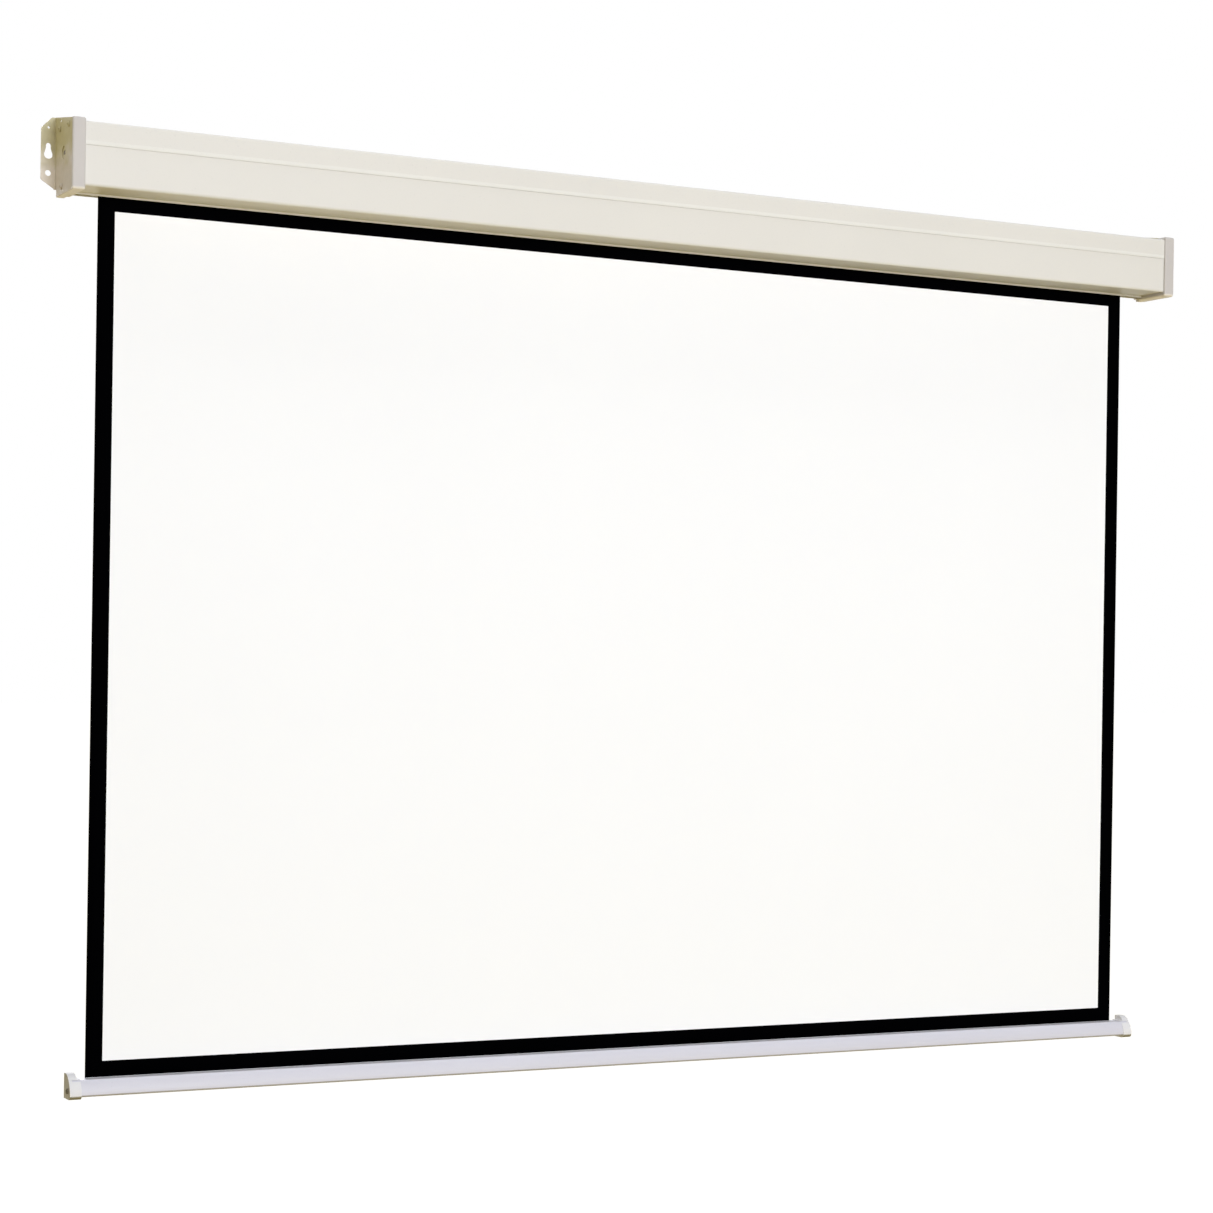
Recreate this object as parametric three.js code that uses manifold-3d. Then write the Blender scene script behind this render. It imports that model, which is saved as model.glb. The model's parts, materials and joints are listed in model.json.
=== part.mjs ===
// A pull down projector screen that hangs on a wall: a two shell casing with a spring roller in
// it, a white picture with printed black borders, and a weighted bar along the foot.
// Millimetres. +Z is up and +X runs along the casing. The wall is the plane y = 0, the front
// faces -Y, and the origin is on the wall plane behind the middle of the casing.
import * as THREE from "three";
import { mergeVertices } from "three/addons/utils/BufferGeometryUtils.js";
import Module from "manifold-3d";

const wasm = await Module();
wasm.setup();

// Clearance between pieces that touch, and the overrun of cutting tools.
const seat_gap = 0.3;
const overrun = 2;

// Picture and fabric.
const picture_width = 1750;
const picture_height = 1200;
const side_border = 25;
const head_border = 21;
const foot_border = 23;
const fabric_thickness = 0.5;
const fabric_to_wall = 14;

// Casing shells.
const casing_height = 90;
const casing_depth = 82;
const casing_wall = 1.5;
const casing_corner = 4;
const casing_side_room = 39;
const joint_height = 12;
const joint_groove = 0.4;
const joint_step = 0.8;
const joint_leg = 9;
const hook_reach = 7;
const hook_drop = 3;
const rear_lip = 8;
const slot_width = 13;
const lip_rise = 8;
const lip_drop = 2.5;
const port_bore = 2;
const port_wall = 1.5;
const port_mouth_deg = 60;

// End caps. The casing's ends enter them by a share of their width.
const cap_width = 19;
const casing_entry_share = 0.56;
const cap_top_stand_out = 4;
const cap_foot_stand_out = 6.4;
const cap_front_stand_out = 3.3;
const cap_wall = 2.5;
const cap_round = 2.5;
const cap_corner = 4;
const cap_notch_height = 3;
const cap_notch_depth = 14;
const cap_notch_width = 6;

// Wall brackets. Rises are measured from the casing's top, or from its floor for the foot.
const bracket_sheet = 1.8;
const bracket_bend = 2;
const bracket_front_inset = 3.5;
const bracket_front_rise = 2.5;
const bracket_rear_rise = 15;
const plate_foot_inset = 6;
const flange_reach = 21;
const flange_top_cut = 15;
const flange_outer_foot_rise = 17.4;
const flange_inner_foot_rise = 4;
const flange_corner = 4;
const keyhole_radius = 6.2;
const keyhole_height = 7.9;
const keyhole_shoulder_rise = 9;
const keyhole_slot_radius = 3.6;
const keyhole_slot_rise = 12.5;
const screw_hole_radius = 4.25;
const screw_hole_drop = 18.2;
const pilot_hole_radius = 1.7;
const pilot_hole_height = 45.7;
const hole_inset = 10.6;
const ear_slot_inset = 24;
const ear_slot_height = 51.8;
const ear_slot_length = 9;
const ear_slot_width = 3;
const dish_depth = 1.2;

// Screws that clamp bracket, cap and casing together.
const screw_radius = 1.7;
const screw_length = 16;
const screw_head_radius = 4;
const screw_head_height = 2.4;
const recess_width = 1;
const recess_length = 4.6;
const recess_depth = 1.3;
const screw_rear_inset = 22;
const screw_front_inset = 16;
const screw_foot_inset = 32;

// Roller. It fills the casing's depth between the hanging fabric and the room kept in front.
const roll_front_room = 13.7;
const tube_wall = 1;
const wrap_turns = 2;
const axis_height = 5;
const plug_flange = 5;
const plug_length = 34;
const plug_web = 6;
const plug_wall = 3;
const plug_to_bracket = 17;
const bush_flange_width = 3;

// Pieces in the roller's ends, as shares of the tube's radius.
const shaft_share = 0.16;
const tang_share = 0.1;
const pin_collar_share = 0.32;
const bush_share = 0.24;
const bush_flange_share = 0.36;
const dish_share = 0.36;
const anchor_share = 0.68;
const spring_share = 0.52;
const ratchet_share = 0.6;
const ratchet_root_share = 0.416;
const ratchet_hub_share = 0.28;
const pawl_pivot_share = 0.84;
const pawl_length_share = 0.6;
const pawl_eye_share = 0.16;
const pawl_half_width_share = 0.08;
const pawl_pin_share = 0.08;
const pawl_pin_head_share = 0.136;

// Spring and the fixed spindle that it winds against.
const spindle_length = 300;
const anchor_width = 12;
const anchor_pin_radius = 1.5;
const bearing_width = 12;
const bearing_gap = 8;
const spring_wire = 0.9;
const spring_turns = 26;
const spring_leg = 5;
const spring_hole = 1.4;

// Ratchet and pawls that lock the screen at the height where it is let go.
const ratchet_width = 5;
const ratchet_notches = 4;
const notch_face_deg = 138;
const notch_span_deg = 45;
const pawl_lifted_deg = 32;
const pawl_pin_head_width = 1.6;

// Foot bar. The screw port's place is a share of the bar's depth behind its front.
const bar_height = 24;
const bar_depth = 29;
const bar_wall = 1.5;
const bar_overhang = 28.3;
const bar_nose_height = 4;
const bar_foot_round = 7;
const bar_cap_width = 17;
const bar_cap_entry_share = 0.69;
const bar_cap_top_depth = 10;
const bar_cap_rise = 8.5;
const bar_cap_drop = 3;
const bar_cap_stand_out = 1;
const bar_cap_step = 5;
const hem_rod_radius = 2;
const hem_channel_wall = 1.3;
const bar_port_height = 9;
const bar_port_share = 0.333;

// The bowed front of the bar: how far its curve runs level at the top and upright at the nose.
const brow_share = 0.333;
const nose_share = 0.5;

// Facets.
const round_sides = 32;
const small_sides = 16;
const arc_steps = 4;
const wrap_steps = 36;
const coil_steps = 10;
const wire_sides = 5;

// Places that follow from the sizes.
const fabric_width = picture_width + side_border * 2;
const rim_x = fabric_width / 2 + casing_side_room;
const cap_outer_x = rim_x + cap_width;
const casing_end_x = rim_x + cap_width * casing_entry_share;
const half_height = casing_height / 2;
const casing_floor = -half_height;
const fabric_back = fabric_to_wall - fabric_thickness;
const wrap_pitch = fabric_thickness + seat_gap;
const wound_radius = (casing_depth - roll_front_room - fabric_back) / 2;
const tube_radius = wound_radius - wrap_turns * wrap_pitch - fabric_thickness - seat_gap;
const axis_y = -fabric_back - wound_radius;
const picture_top = casing_floor - head_border;
const picture_foot = picture_top - picture_height;
const bar_top = picture_foot - foot_border;
const plate_inner_x = cap_outer_x - bracket_sheet;
const dish_inner_x = plate_inner_x - dish_depth;
const cap_wall_x = plate_inner_x - seat_gap;
const plug_face_x = dish_inner_x - plug_to_bracket + seat_gap;
const tube_end_x = plug_face_x - plug_flange - seat_gap;
const shaft_radius = tube_radius * shaft_share;
const half_tang = tube_radius * tang_share;
const dish_radius = tube_radius * dish_share;
const spring_radius = tube_radius * spring_share;
const pawl_pivot_radius = tube_radius * pawl_pivot_share;
const pawl_pin_radius = tube_radius * pawl_pin_share;

// Materials.
const painted = (color, roughness, metalness = 0) =>
  new THREE.MeshStandardMaterial({ color, roughness, metalness });
const finish = {
  casing: painted(0xe9e6dc, 0.45, 0.1),
  cap: painted(0xd8d6da, 0.5),
  bracket: painted(0xd6d0bd, 0.4, 0.3),
  zinc: painted(0xb9bcc0, 0.35, 0.9),
  steel: painted(0x8f9296, 0.4, 0.9),
  nylon: painted(0xe8e4d8, 0.55),
  bar: painted(0xdedce4, 0.4, 0.2),
  fabric: painted(0xf4f4f2, 0.9),
  screen: new THREE.MeshStandardMaterial({ vertexColors: true, roughness: 0.9, metalness: 0 }),
};
const picture_white = new THREE.Color(0xfbfbfa);
const border_black = new THREE.Color(0x080808);

const radians = THREE.MathUtils.degToRad;
const at = (y, z) => new THREE.Vector2(y, z);

// Outline helpers. An outline is a list of Vector2.

// The points moved sideways by a distance, to the left of the way that they run.
function moved_sideways(points, distance, closed) {
  const count = points.length;
  return points.map((point, index) => {
    const before = closed ? (index + count - 1) % count : Math.max(index - 1, 0);
    const after = closed ? (index + 1) % count : Math.min(index + 1, count - 1);
    const arriving = new THREE.Vector2().subVectors(point, points[before]);
    const leaving = new THREE.Vector2().subVectors(points[after], point);
    if (arriving.lengthSq() === 0) arriving.copy(leaving);
    if (leaving.lengthSq() === 0) leaving.copy(arriving);
    arriving.normalize();
    leaving.normalize();
    const side = new THREE.Vector2(-arriving.y - leaving.y, arriving.x + leaving.x).normalize();
    const spread = side.dot(new THREE.Vector2(-arriving.y, arriving.x));
    return point.clone().addScaledVector(side, distance / spread);
  });
}

// The corners of a path as arcs. radii is one radius, or one for each point.
function rounded(points, radii, closed) {
  const result = [];
  points.forEach((corner, index) => {
    const radius = Array.isArray(radii) ? radii[index] : radii;
    const is_end = !closed && (index === 0 || index === points.length - 1);
    if (is_end || radius === 0) {
      result.push(corner);
      return;
    }
    const before = points[(index + points.length - 1) % points.length];
    const after = points[(index + 1) % points.length];
    const back = new THREE.Vector2().subVectors(before, corner).normalize();
    const on = new THREE.Vector2().subVectors(after, corner).normalize();
    const half_angle = Math.acos(back.dot(on)) / 2;
    const cut = radius / Math.tan(half_angle);
    const middle = new THREE.Vector2().addVectors(back, on).normalize();
    const centre = corner.clone().addScaledVector(middle, radius / Math.sin(half_angle));
    const from = corner.clone().addScaledVector(back, cut).sub(centre);
    const to = corner.clone().addScaledVector(on, cut).sub(centre);
    const sweep = Math.atan2(from.cross(to), from.dot(to));
    for (let step = 0; step <= arc_steps; step += 1) {
      const turn = (sweep * step) / arc_steps;
      result.push(from.clone().rotateAround(new THREE.Vector2(), turn).add(centre));
    }
  });
  return result;
}

// The closed outline of a sheet of even thickness that follows an open centre line.
function strip(centre_line, thickness) {
  const left = moved_sideways(centre_line, thickness / 2, false);
  const right = moved_sideways(centre_line, -thickness / 2, false);
  return left.concat(right.reverse());
}

function arc_points(y, z, radius, from_deg, to_deg, steps) {
  const points = [];
  for (let step = 0; step <= steps; step += 1) {
    const angle = radians(from_deg + ((to_deg - from_deg) * step) / steps);
    points.push(at(y + radius * Math.cos(angle), z + radius * Math.sin(angle)));
  }
  return points;
}

function box_outline(y0, y1, z0, z1) {
  return [at(y0, z0), at(y1, z0), at(y1, z1), at(y0, z1)];
}

// Solid helpers.

// An outline drawn in y and z, run along X.
function along_x(outline, x0, x1, bevel = 0) {
  const options = {
    depth: x1 - x0 - bevel * 2,
    bevelEnabled: bevel > 0,
    bevelThickness: bevel,
    bevelSize: bevel,
    bevelOffset: -bevel,
    bevelSegments: arc_steps,
    steps: 1,
  };
  const geometry = new THREE.ExtrudeGeometry(new THREE.Shape(outline), options);
  const x_axis = new THREE.Vector3(0, 1, 0);
  const y_axis = new THREE.Vector3(0, 0, 1);
  const z_axis = new THREE.Vector3(1, 0, 0);
  geometry.applyMatrix4(new THREE.Matrix4().makeBasis(x_axis, y_axis, z_axis));
  return geometry.translate(x0 + bevel, 0, 0);
}

// An outline drawn in x and z, run along Y.
function along_y(outline, y0, y1) {
  const options = { depth: y1 - y0, bevelEnabled: false, steps: 1 };
  const geometry = new THREE.ExtrudeGeometry(new THREE.Shape(outline), options);
  return geometry.rotateX(Math.PI / 2).translate(0, y1, 0);
}

// An outline drawn in x and y, run along Z.
function along_z(outline, z0, z1) {
  const options = { depth: z1 - z0, bevelEnabled: false, steps: 1 };
  return new THREE.ExtrudeGeometry(new THREE.Shape(outline), options).translate(0, 0, z0);
}

function rod(radius, x0, x1, y = 0, z = 0, sides = round_sides) {
  const geometry = new THREE.CylinderGeometry(radius, radius, x1 - x0, sides);
  return geometry.rotateZ(Math.PI / 2).translate((x0 + x1) / 2, y, z);
}

function rod_along_y(radius, x, y0, y1, z) {
  const geometry = new THREE.CylinderGeometry(radius, radius, y1 - y0, small_sides);
  return geometry.translate(x, (y0 + y1) / 2, z);
}

// A turned piece on the X axis. Each point of the profile is a place along X and a radius.
function turned(profile, sides = round_sides) {
  const points = profile.map(([x, radius]) => new THREE.Vector2(radius, x));
  return new THREE.LatheGeometry(points, sides).rotateZ(-Math.PI / 2);
}

function solid_of(geometry) {
  const bare = geometry.clone();
  bare.deleteAttribute("normal");
  bare.deleteAttribute("uv");
  const merged = mergeVertices(bare);
  const mesh = new wasm.Mesh({
    numProp: 3,
    vertProperties: merged.attributes.position.array,
    triVerts: new Uint32Array(merged.index.array),
  });
  return new wasm.Manifold(mesh);
}

function geometry_of(solid) {
  const mesh = solid.getMesh();
  const geometry = new THREE.BufferGeometry();
  geometry.setAttribute("position", new THREE.BufferAttribute(mesh.vertProperties, 3));
  geometry.setIndex(new THREE.BufferAttribute(mesh.triVerts, 1));
  geometry.computeVertexNormals();
  return geometry;
}

function joined(geometries) {
  return geometry_of(geometries.map(solid_of).reduce((whole, piece) => whole.add(piece)));
}

function cut(geometry, tools) {
  const body = solid_of(geometry);
  return geometry_of(tools.map(solid_of).reduce((rest, tool) => rest.subtract(tool), body));
}

function common(first, second) {
  return geometry_of(solid_of(first).intersect(solid_of(second)));
}

// The same piece for the other end of the screen.
function mirrored(geometry) {
  const source = geometry.index ? geometry : mergeVertices(geometry);
  const copy = source.clone().scale(-1, 1, 1);
  const index = Array.from(copy.index.array);
  for (let corner = 0; corner < index.length; corner += 3) {
    [index[corner], index[corner + 1]] = [index[corner + 1], index[corner]];
  }
  copy.setIndex(index);
  copy.computeVertexNormals();
  return copy;
}

const screen = new THREE.Group();
const roller = new THREE.Group();
const bar = new THREE.Group();
roller.position.set(0, axis_y, axis_height);
bar.position.set(0, 0, bar_top - bar_height);
screen.add(roller, bar);

function add(group, name, geometry, material) {
  const mesh = new THREE.Mesh(geometry, material);
  mesh.name = name;
  group.add(mesh);
  return mesh;
}

// Casing shells.

const port_z = half_height - casing_wall - port_bore - port_wall / 2;
const screw_places = [
  { label: "rear", y: -screw_rear_inset, z: port_z, shell: "channel" },
  { label: "front", y: -casing_depth + screw_front_inset, z: port_z, shell: "channel" },
  { label: "foot", y: -screw_foot_inset, z: -port_z, shell: "cover" },
];

// A screw port is a split ring along the whole shell, with its back sunk in the wall.
function screw_ports(shell) {
  return screw_places
    .filter((place) => place.shell === shell)
    .map((place) => {
      const mouth_deg = place.z > 0 ? -90 : 90;
      const from_deg = mouth_deg + port_mouth_deg / 2;
      const to_deg = mouth_deg + 360 - port_mouth_deg / 2;
      const ring_radius = port_bore + port_wall / 2;
      const ring = arc_points(place.y, place.z, ring_radius, from_deg, to_deg, small_sides);
      return along_x(strip(ring, port_wall), -casing_end_x, casing_end_x);
    });
}

// The rib that stands below the casing's floor along one edge of the slot, between the end caps.
function slot_lip(y) {
  const outline = box_outline(
    y,
    y + casing_wall,
    casing_floor - lip_drop,
    casing_floor + casing_wall * 2
  );
  return along_x(outline, -rim_x + seat_gap, rim_x - seat_gap);
}

// Back wall, top and upper front in one profile. Its front edge turns in as a ledge and ends in
// a leg that the cover hooks on to.
function casing_channel() {
  const half_wall = casing_wall / 2;
  const leg_y = -casing_depth + joint_step + casing_wall + seat_gap + half_wall;
  const front_y = -casing_depth + half_wall;
  const line = [
    at(-rear_lip + half_wall, casing_floor + lip_rise),
    at(-rear_lip + half_wall, casing_floor + half_wall),
    at(-half_wall, casing_floor + half_wall),
    at(-half_wall, half_height - half_wall),
    at(front_y, half_height - half_wall),
    at(front_y, joint_height + half_wall),
    at(leg_y, joint_height + half_wall),
    at(leg_y, joint_height - joint_leg),
  ];
  const round = casing_corner - half_wall;
  const radii = [0, casing_wall, casing_wall, casing_wall, round, 0, 0, 0];
  const profile = strip(rounded(line, radii, false), casing_wall);
  const shell = along_x(profile, -casing_end_x, casing_end_x);
  return joined([shell, slot_lip(-rear_lip), ...screw_ports("channel")]);
}

// Lower front and bottom in one profile, up to the slot, with the hook behind the channel's leg.
function front_cover() {
  const half_wall = casing_wall / 2;
  const front_y = -casing_depth + joint_step + half_wall;
  const slot_y = -rear_lip - slot_width - half_wall;
  const line = [
    at(front_y, joint_height - joint_groove),
    at(front_y, casing_floor + half_wall),
    at(slot_y, casing_floor + half_wall),
    at(slot_y, casing_floor + lip_rise),
  ];
  const round = casing_corner - half_wall;
  const wall = strip(rounded(line, [0, round, casing_wall, 0], false), casing_wall);
  const hook_z = joint_height - joint_leg - hook_drop + half_wall;
  const hook_y = front_y + casing_wall * 2 + seat_gap * 2;
  const hook_line = [
    at(front_y, hook_z),
    at(hook_y, hook_z),
    at(hook_y, hook_z + hook_reach),
  ];
  const hook = strip(hook_line, casing_wall);
  const shells = [wall, hook].map((outline) => along_x(outline, -casing_end_x, casing_end_x));
  const lip = slot_lip(slot_y - half_wall);
  return joined([...shells, lip, ...screw_ports("cover")]);
}

add(screen, "casing_channel", casing_channel(), finish.casing);
add(screen, "front_cover", front_cover(), finish.casing);

// End caps, modelled for the +X end.

function end_cap() {
  const front_y = -casing_depth - cap_front_stand_out;
  const top = half_height + cap_top_stand_out;
  const foot = casing_floor - cap_foot_stand_out;
  const outline = rounded(box_outline(front_y, 0, foot, top), [cap_corner, 0, 0, cap_corner], true);
  const block = along_x(outline, rim_x, cap_outer_x, cap_round);
  const pocket_z = half_height + seat_gap;
  const pocket_outline = rounded(
    box_outline(-casing_depth - seat_gap, overrun, -pocket_z, pocket_z),
    [casing_corner, 0, 0, casing_corner],
    true
  );
  const pocket_end = casing_end_x + seat_gap;
  const pocket = along_x(pocket_outline, rim_x - overrun, pocket_end);
  const hollow_outline = box_outline(
    front_y + cap_wall,
    -cap_wall,
    foot + cap_wall,
    top - cap_wall
  );
  const hollow = along_x(hollow_outline, pocket_end - seat_gap, cap_wall_x - cap_wall);
  const recess_y = front_y + bracket_front_inset;
  const recess_outline = box_outline(recess_y, overrun, foot - overrun, top + overrun);
  const recess = along_x(recess_outline, cap_wall_x, cap_outer_x + overrun);
  const notch_outline = box_outline(
    -cap_notch_depth,
    overrun,
    foot - overrun,
    foot + cap_notch_height
  );
  const notch = along_x(notch_outline, rim_x - overrun, rim_x + cap_notch_width);
  const dish = rod(dish_radius + bracket_sheet, rim_x, cap_outer_x, axis_y, axis_height);
  const holes = screw_places.map((place) =>
    rod(screw_radius + seat_gap * 2, rim_x, cap_outer_x, place.y, place.z, small_sides)
  );
  return cut(block, [pocket, hollow, recess, notch, dish, ...holes]);
}

// Wall brackets, modelled for the +X end: a side plate that carries the roller, bent outward
// into a flange with a keyhole and a screw hole.

const hole_x = cap_outer_x + hole_inset;

function keyhole_outline() {
  const circle = arc_points(hole_x, keyhole_height, keyhole_radius, 0, 360, round_sides);
  circle.pop();
  return circle;
}

// The keyhole's sides lean in from the round hole to the slot.
function keyhole_shoulder_outline() {
  const top = keyhole_height + keyhole_shoulder_rise;
  return [
    at(hole_x - keyhole_radius, keyhole_height),
    at(hole_x + keyhole_radius, keyhole_height),
    at(hole_x + keyhole_slot_radius, top),
    at(hole_x - keyhole_slot_radius, top),
  ];
}

function keyhole_slot_outline() {
  const top = keyhole_height + keyhole_slot_rise;
  const arch = arc_points(hole_x, top, keyhole_slot_radius, 0, 180, small_sides / 2);
  const foot = [
    at(hole_x - keyhole_slot_radius, keyhole_height),
    at(hole_x + keyhole_slot_radius, keyhole_height),
  ];
  return arch.concat(foot);
}

function wall_bracket(shaft_hole) {
  const front_y = -casing_depth - cap_front_stand_out + bracket_front_inset + seat_gap;
  const half_sheet = bracket_sheet / 2;
  const flange_end = cap_outer_x + flange_reach;
  const bend_line = [
    at(cap_outer_x - half_sheet, front_y),
    at(cap_outer_x - half_sheet, -half_sheet),
    at(flange_end, -half_sheet),
  ];
  const foot = casing_floor - cap_foot_stand_out;
  const flange_foot = casing_floor + flange_inner_foot_rise;
  const front_top = half_height + bracket_front_rise;
  const rear_top = half_height + bracket_rear_rise;
  const bend_radii = [0, bracket_bend + half_sheet, 0];
  const bent = strip(rounded(bend_line, bend_radii, false), bracket_sheet);
  const sheet = along_z(bent, foot, rear_top);

  const plate_outline = [
    at(front_y, foot),
    at(-plate_foot_inset, foot),
    at(-plate_foot_inset, flange_foot),
    at(0, flange_foot),
    at(0, rear_top),
    at(-bracket_bend - bracket_sheet, rear_top),
    at(front_y, front_top),
  ];
  const bend_end = cap_outer_x + bracket_bend;
  const plate = along_x(plate_outline, plate_inner_x - overrun, bend_end);
  const flange_outline = [
    at(bend_end - overrun, flange_foot),
    at(flange_end, casing_floor + flange_outer_foot_rise),
    at(flange_end, rear_top - flange_top_cut),
    at(flange_end - flange_top_cut, rear_top),
    at(bend_end - overrun, rear_top),
  ];
  const corners = [0, flange_corner, flange_corner, flange_corner, 0];
  const flange_round = rounded(flange_outline, corners, true);
  const flange = along_y(flange_round, -bracket_sheet - overrun, overrun);
  const blank = common(sheet, joined([plate, flange]));

  const boss_radius = dish_radius + bracket_sheet / 2;
  const boss = rod(boss_radius, dish_inner_x, plate_inner_x + half_sheet, axis_y, axis_height);
  const pressed = joined([blank, boss]);
  const dish_floor = cap_outer_x - dish_depth;
  const dish = rod(dish_radius, dish_floor, cap_outer_x + overrun, axis_y, axis_height);
  const through = [-bracket_sheet - overrun, overrun];
  const wall_holes = [
    along_y(keyhole_outline(), ...through),
    along_y(keyhole_shoulder_outline(), ...through),
    along_y(keyhole_slot_outline(), ...through),
    rod_along_y(screw_hole_radius, hole_x, ...through, -screw_hole_drop),
    rod_along_y(pilot_hole_radius, hole_x, ...through, pilot_hole_height),
  ];
  const ear_slot_outline = box_outline(
    -ear_slot_inset - ear_slot_length / 2,
    -ear_slot_inset + ear_slot_length / 2,
    ear_slot_height - ear_slot_width / 2,
    ear_slot_height + ear_slot_width / 2
  );
  const ear_slot_round = rounded(ear_slot_outline, ear_slot_width / 3, true);
  const ear_slot = along_x(ear_slot_round, plate_inner_x - overrun, bend_end);
  const screw_holes = screw_places.map((place) =>
    rod(screw_radius + seat_gap, plate_inner_x - overrun, bend_end, place.y, place.z, small_sides)
  );
  return cut(pressed, [dish, shaft_hole, ear_slot, ...wall_holes, ...screw_holes]);
}

// The hole that keeps the spindle's flat end from turning.
function tang_room(x0, x1) {
  const half_width = shaft_radius + seat_gap;
  const half_room = half_tang + seat_gap;
  return along_x(box_outline(-half_width, half_width, -half_room, half_room), x0, x1);
}

const plate_span = [dish_inner_x - overrun, cap_outer_x + overrun];
const tang_slot = tang_room(...plate_span).translate(0, axis_y, axis_height);
const bush_radius = tube_radius * bush_share;
const bush_hole = rod(bush_radius + seat_gap, ...plate_span, axis_y, axis_height);

add(screen, "end_cap_left", mirrored(end_cap()), finish.cap);
add(screen, "end_cap_right", end_cap(), finish.cap);
add(screen, "wall_bracket_left", mirrored(wall_bracket(tang_slot)), finish.bracket);
add(screen, "wall_bracket_right", wall_bracket(bush_hole), finish.bracket);

// A pan head screw with a cross recess. Its head's underside is at head_x.
function pan_screw(head_x) {
  const face_x = head_x + screw_head_height;
  const blank = turned([
    [head_x - screw_length, 0],
    [head_x - screw_length + screw_radius, screw_radius],
    [head_x, screw_radius],
    [head_x, screw_head_radius],
    [head_x + screw_head_height / 2, screw_head_radius],
    [face_x, screw_head_radius / 2],
    [face_x, 0],
  ], small_sides);
  const half_length = recess_length / 2;
  const half_width = recess_width / 2;
  const arms = [
    box_outline(-half_length, half_length, -half_width, half_width),
    box_outline(-half_width, half_width, -half_length, half_length),
  ];
  return cut(blank, arms.map((arm) => along_x(arm, face_x - recess_depth, face_x + overrun)));
}

for (const place of screw_places) {
  const screw = pan_screw(cap_outer_x + seat_gap);
  const left = add(screen, `cap_screw_left_${place.label}`, mirrored(screw), finish.zinc);
  const right = add(screen, `cap_screw_right_${place.label}`, screw, finish.zinc);
  left.position.set(0, place.y, place.z);
  right.position.set(0, place.y, place.z);
}

// Fixed spindle at the -X end. All of the spring end is modelled for +X and mirrored.

const shoulder_x = plug_face_x + seat_gap;
const spindle_inner_x = shoulder_x - spindle_length;
const bearing_inner_x = spindle_inner_x + bearing_gap;
const bearing_outer_x = bearing_inner_x + bearing_width;
const anchor_inner_x = bearing_outer_x + bearing_gap;
const anchor_outer_x = anchor_inner_x + anchor_width;
const plug_inner_x = plug_face_x - plug_length;
const web_inner_x = plug_face_x - plug_web;
const anchor_pin_x = (anchor_inner_x + anchor_outer_x) / 2;

function vertical_hole(radius, x, reach) {
  const geometry = new THREE.CylinderGeometry(radius, radius, reach * 2, small_sides);
  return geometry.rotateX(Math.PI / 2).translate(x, 0, 0);
}

// A round shaft with two flats at its outer end.
function spring_spindle() {
  const flats = [
    box_outline(-tube_radius, tube_radius, half_tang, tube_radius),
    box_outline(-tube_radius, tube_radius, -tube_radius, -half_tang),
  ];
  const shaft = rod(shaft_radius, spindle_inner_x, cap_outer_x - dish_depth);
  return cut(shaft, [
    ...flats.map((outline) => along_x(outline, shoulder_x, cap_outer_x + overrun)),
    vertical_hole(anchor_pin_radius + seat_gap, anchor_pin_x, tube_radius),
  ]);
}

// The notched disc, with a hub that fills the space up to the bracket.
function ratchet_disc() {
  const outline = [];
  const tip_radius = tube_radius * ratchet_share;
  const root_radius = tube_radius * ratchet_root_share;
  const pitch_deg = 360 / ratchet_notches;
  for (let notch = 0; notch < ratchet_notches; notch += 1) {
    const face_deg = notch_face_deg + notch * pitch_deg;
    const from_deg = face_deg - pitch_deg;
    const to_deg = face_deg - notch_span_deg;
    outline.push(...arc_points(0, 0, tip_radius, from_deg, to_deg, arc_steps * 2));
    outline.push(...arc_points(0, 0, root_radius, face_deg, face_deg, 1).slice(1));
  }
  const disc_x = shoulder_x + seat_gap;
  const disc = along_x(outline, disc_x, disc_x + ratchet_width);
  const hub = rod(tube_radius * ratchet_hub_share, disc_x, dish_inner_x - seat_gap);
  return cut(joined([disc, hub]), [tang_room(shoulder_x - overrun, cap_outer_x)]);
}

const anchor_radius = tube_radius * anchor_share;

function spring_anchor() {
  const collar = rod(anchor_radius, anchor_inner_x, anchor_outer_x);
  return cut(collar, [
    rod(shaft_radius + seat_gap, anchor_inner_x - overrun, anchor_outer_x + overrun),
    rod(spring_hole, anchor_outer_x - anchor_width / 2, anchor_outer_x + overrun,
      spring_radius, 0, small_sides),
    vertical_hole(anchor_pin_radius + seat_gap, anchor_pin_x, tube_radius),
  ]);
}

function anchor_pin() {
  return vertical_hole(anchor_pin_radius, anchor_pin_x, anchor_radius - seat_gap);
}

// The spring's wire: a straight leg, the turns, and a straight leg into the other piece.
function torsion_spring() {
  const first_x = anchor_outer_x + spring_leg;
  const last_x = web_inner_x - spring_leg;
  const on_coil = (share) => {
    const angle = Math.PI * 2 * spring_turns * share;
    return new THREE.Vector3(
      first_x + (last_x - first_x) * share,
      spring_radius * Math.cos(angle),
      spring_radius * Math.sin(angle)
    );
  };
  const points = [on_coil(0).setX(anchor_outer_x - spring_leg), on_coil(0).setX(anchor_outer_x)];
  const count = spring_turns * coil_steps;
  for (let step = 0; step <= count; step += 1) {
    points.push(on_coil(step / count));
  }
  points.push(on_coil(1).setX(web_inner_x), on_coil(1).setX(web_inner_x + spring_leg));
  const path = new THREE.CatmullRomCurve3(points);
  const section = new THREE.Shape(arc_points(0, 0, spring_wire, 0, 360, wire_sides).slice(1));
  return new THREE.ExtrudeGeometry(section, { steps: points.length, extrudePath: path });
}

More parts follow.
